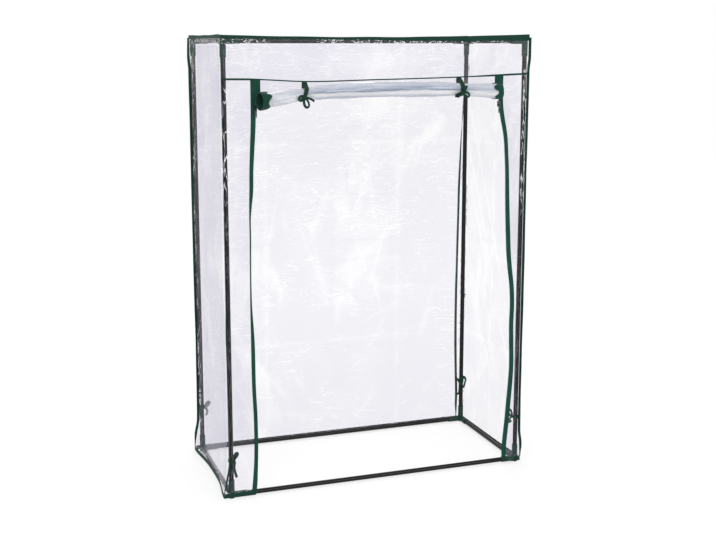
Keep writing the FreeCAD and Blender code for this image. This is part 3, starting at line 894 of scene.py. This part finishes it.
def roll_middle(x):
    """The roll's middle, hanging crooked with its back always against the door's plane."""
    drop = along(x, [(-0.42, -28), (-0.38, -25), (-0.33, -18), (-0.29, -11), (-0.262, -8), (-0.19, 0), (-0.08, 4),
                     (0.10, 4), (0.22, 2), (0.283, -1), (0.35, -4), (0.415, -8)])
    return front_y - 1.6 * MM - roll_outer * roll_girth(x), roll_z + drop * MM


def roll_skin(share, x):
    """A point of the rolled sheet, from the core at share 0 to the edge under the flap at 1."""
    turn = math.tau * TURNS * share
    wound = roll_core + (roll_outer - roll_core) * share
    # shallow dents, and one groove along the roll at 200 degrees
    gap = (np.degrees(turn) % 360 - 200 + 180) % 360 - 180
    dent = (0.035 * np.sin(3 * turn + 7 * x) + 0.03 * np.sin(5 * turn - 23 * x) + 0.02 * np.sin(2 * turn + 61 * x)
            - 0.13 * np.exp(-(gap / (9 + 4 * np.sin(11 * x))) ** 2) * (0.6 + 0.4 * np.sin(5 * x + 1)))
    radius = wound * roll_girth(x) * (1 + dent * ease(1 - share, 0, 0.02))
    y, z = roll_middle(x)
    # the left end is drawn round to the front by its zip
    past = np.maximum(END_BEND - x, 0) * (x < 0)
    swing = np.radians(14) * ease(past, 0, 0.035) * ease(1 - share, 0, 0.04)
    deep = radius * np.cos(turn)
    return spots(x + past * (1 - np.cos(swing)) - deep * np.sin(swing),
                 y - past * np.sin(swing) + deep * np.cos(swing), z + radius * np.sin(turn))


def hanging(place, share, back, top):
    """The door from the header's seam, at share 0, down to the roll's edge at 1."""
    end = roll_skin(np.ones_like(place), place)
    return spots(place, (front_y + back) * (1 - share) + end[..., 1] * share,
                 (seam_line(place) + top) * (1 - share) + end[..., 2] * share)


place, share = np.meshgrid(np.linspace(-flap_half, flap_half, 130), np.linspace(0, 1, 12))
flap = hanging(place, share, 0.3 * MM, 0.0)
flap[..., 1] += 0.7 * MM * np.sin(place * 90) * np.sin(share * math.pi)
flap = flap[::-1]
door_flap = film_piece("film_door_flap", flap, panel_film, film_marks(flap, np.zeros(flap.shape[:2])))
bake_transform(door_flap)
set_on(door_flap, "clear_film", "door_flap", body=None)

# the wound sheet: rows round the spiral, columns along it, facing outwards
spiral = np.linspace(0, 1, TURNS * TURN_POINTS + 1)
wound = roll_skin(*np.meshgrid(spiral, np.linspace(-roll_half, roll_half, 84), indexing="ij"))[:, ::-1]
turns = np.broadcast_to((np.linspace(0, TURNS, len(wound)) % 1)[:, None], wound.shape[:2])
# lap: how strongly the painted shade and highlight bands show along the roll, weakest at the left end, strongest in
# the middle
lap = 0.30 + 0.60 * ease(wound[..., 0], -0.31, -0.20) - 0.35 * ease(wound[..., 0], 0.28, 0.34)
door_roll = film_piece("film_door_roll", wound, rolled_film, {"round": turns, "lap": lap})
set_on(door_roll, "clear_film", "door_roll", body="door")
roll_pieces = [door_roll]

for side, word in SIDES:
    # the wound tape is loose: its inner turns sit back, and its outer ones stand out in lobes
    share, edge = np.meshgrid(spiral, np.linspace(0, 1, 6), indexing="ij")
    turn = math.tau * TURNS * share
    loose = ease(share, 0.72, 0.93)
    wave = np.sin(5 * turn + 1) + 0.6 * np.sin(3 * turn)
    inner_x = roll_half - loose * (6 + 6.5 * wave) * MM
    past_film = (7 if side < 0 else 3) * MM * ease(1 - share, 0, 0.045)
    outer_x = flap_half + past_film - 21 * MM * (1 - ease(share, 0.74, 0.88))
    x = side * (inner_x + (outer_x - inner_x) * edge)
    grid = roll_skin(share, x)
    spread = loose * (0.08 + 0.07 * wave) * (1 - 0.7 * edge) * ease(1 - share, 0, 0.03)
    grid[..., 1:] += (grid[..., 1:] - np.stack(roll_middle(x), -1)) * spread[..., None]
    roll_pieces += zip_pair(f"{word}_door_zip", grid, grid[:, -1], f"{word}_door_zip", body="door")

    # from the header to the roll the tape leans in to the wound one
    share = np.linspace(0, 1, 40)[:, None]
    top_x = np.linspace(zip_x + 1.2 * MM, zip_x - tape_width, 5) * side
    end_x = np.linspace(flap_half + 11 * MM, roll_half + 3 * MM, 5) * side
    edge = hanging(top_x + (end_x - top_x) * ease(share, 0.6, 1), share, -1.2 * MM, -MM)
    for piece in zip_pair(f"{word}_door_edge", edge, edge[:, 0], body=None):
        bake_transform(piece)

for piece in roll_pieces:
    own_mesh(piece)


# Ties

def loop_path(knot, reach, side):
    """A teardrop from the knot and back: reach is its far point and side its half width."""
    t = np.linspace(0.03, 0.97, 26)[:, None] * math.tau
    return knot + reach * (1 - np.cos(t)) / 2 + side * np.sin(t) * np.sqrt((1.15 - np.cos(t)) / 2)


def knot_grid(knot, size, width=9 * MM):
    """A ribbon wound twice round itself."""
    t = np.linspace(0, 2 * math.tau, 44)
    swell = size * (1 + 0.10 * np.sin(3 * t))
    path = knot + spots(width * 0.25 * np.sin(t / 2), swell * np.cos(t), swell * np.sin(t))
    path += unit(path - knot) * np.linspace(0, MM, 44)[:, None]
    return ribbon(path, spots(1, 0.3 * np.sin(t), 0.3 * np.cos(t)), width)


def bow_grids(knot, loops, tails, width):
    """Loops and tails of ribbon, in millimetres from their knot, with their faces to the front."""
    paths = [loop_path(knot, np.array(reach) * MM, np.array(side) * MM) for reach, side in loops]
    paths += [smooth_path(knot + np.array([(0, 0, 0), *points]) * MM, 20) for points in tails]
    return [ribbon(path, np.cross(unit(np.gradient(path, axis=0)), (0, 1, 0)) + (0, 0.55, 0), width)
            for path in paths]


def door_tie(top_x, knot_x, knot_turn, loops, tails):
    """Ribbon sewn to the header's seam, round the roll and up behind it, tied in a bow in front."""
    y, z = roll_middle(knot_x)
    around = roll_outer * roll_girth(knot_x) + 2.2 * MM
    seam = np.array([front_y - 1.8 * MM, seam_line(top_x) - MM])
    reach = seam - (y, z)
    lean = math.atan2(reach[1], reach[0]) + math.acos(min(around / math.hypot(*reach), 1))
    sweep = np.linspace(lean, math.tau, 70)
    circle = np.stack([y + around * np.cos(sweep), z + around * np.sin(sweep)], -1)
    front = np.linspace(seam, circle[0], 10)[:-1]
    inner = np.linspace((y + around, z), (y + around, seam[1] - MM), 10)[1:]
    path = np.concatenate([front, circle, inner])
    count = np.arange(len(path))
    x = top_x + (knot_x - top_x) * ease(count, 0, 40) * (1 - ease(count, 50, len(path)))
    width = 15 * MM - 5 * MM * np.exp(-((count - 36) / 9) ** 2)
    band = ribbon(np.column_stack([x, path]), (1, 0, 0.12), width)
    angle = math.radians(knot_turn)
    out = around + 4 * MM
    knot = np.array([knot_x, y + out * math.cos(angle), z + out * math.sin(angle)])
    return [band, knot_grid(knot, 4.2 * MM), *bow_grids(knot, loops, tails, 8.5 * MM)]


# where each is sewn on, its knot and that knot's degrees round the roll, loops and tails
door_ties = {
    "left": (
        -0.262, -0.274, 196, [((-20, -3, -5), (1, -1, 7.5)), ((8, -4, -32), (9, 0, 2))],
        [[(8, -5, -2), (19, -5, -6), (31, -2, -13)]]),
    "right": (
        0.272, 0.268, 203, [((-27, -3, -9), (1, -2, 4)), ((22, -4, -8), (1, 0, 8))],
        [[(4, -6, 8), (8, -5, 15), (13, -3, 24)], [(-10, -5, -7), (-21, -5, -13)]]),
}
for word, facts in door_ties.items():
    piece = tape("tie_ribbon", f"{word}_door_tie_ribbon", door_tie(*facts), f"{word}_door_tie")
    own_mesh(piece)


def corner_tie(post, seam, height, loops, tails, width=10 * MM):
    """Ribbon from a corner seam round its post, knotted on the inside of the cover."""
    post, seam = np.array(post), np.array(seam)
    start = math.atan2(*(seam - post)[::-1])
    sweep = np.linspace(start, start + 2.2 * math.pi, 60)
    ring = post_r + 1.4 * MM
    circle = spots(post[0] + ring * np.cos(sweep), post[1] + ring * np.sin(sweep),
                   height + 3 * MM * np.linspace(-1, 1, 60))
    lead = np.array([*seam, height + 6 * MM])
    strap = np.linspace(lead, circle[0], 8)[:-1]
    band = ribbon(np.concatenate([strap, circle]), (0, 0, 1), width)
    knot = np.array([*(post - unit(np.sign(post)) * (ring + 4 * MM)), height])
    return [band, knot_grid(knot, 4.5 * MM), *bow_grids(knot, loops, tails, width)]


# post, seam, height, loops and tails
corner_ties = {
    "front_left": (
        (-post_x, -post_y), (-cover_x, front_y), 0.128, [((13, -2, 22), (4, 0, -3))],
        [[(5, 0, -12), (3, 0, -28), (5, 0, -42), (11, 0, -64)]]),
    "front_right": (
        (post_x, -post_y), (cover_x, front_y), 0.165, [((-15, -2, 26), (-7, 0, -4))],
        [[(-5, 0, -6), (-14, 0, -13), (-9, 0, -20), (-3, 0, -14)]]),
    "back_left": (
        (-post_x, post_y), (-cover_x, back_y), 0.170, [((16, 2, 18), (4, 0, -4))],
        [[(6, 0, -8), (9, 0, -18), (4, 0, -32)]]),
    "back_right": (
        (post_x, post_y), (cover_x - back_seam_wrap(0.16), back_y), 0.166, [((8, -4, 10), (-4, 0, 4))],
        [[(6, -4, 12), (15, -4, 17), (23, -4, 6), (19, -3, -12), (15, -2, -28)], [(4, -3, -6), (5, -2, -16)],
         [(-1, 0, -22), (-1, 2, -40), (-2, 4, -50), (-9, 6, -53)]], 12 * MM),
}
for corner, facts in corner_ties.items():
    tape("tie_ribbon", f"corner_tie_ribbon_{corner}", corner_tie(*facts), f"corner_tie_{corner}")


# Stitches along the bindings: tapes, their stitched column of points, and the ways that they face

stitched = {
    "roof_seam_stitches": (fins, 2, ((0, -1, 0), (0, 1, 0), (-1, 0, 0), (1, 0, 0))),
    "hem_stitches": (hems, 1, ((-1, 0, 0), (0, 1, 0), -normals(hems[2])[:, 1])),
}
for name, (grids, column, ways) in stitched.items():
    lines = [grid[:, column] + np.array(way) * STAND_OUT for grid, way in zip(grids, ways)]
    set_on(row_along(name, lines, thread_polyester, STITCHES), "binding_tape")
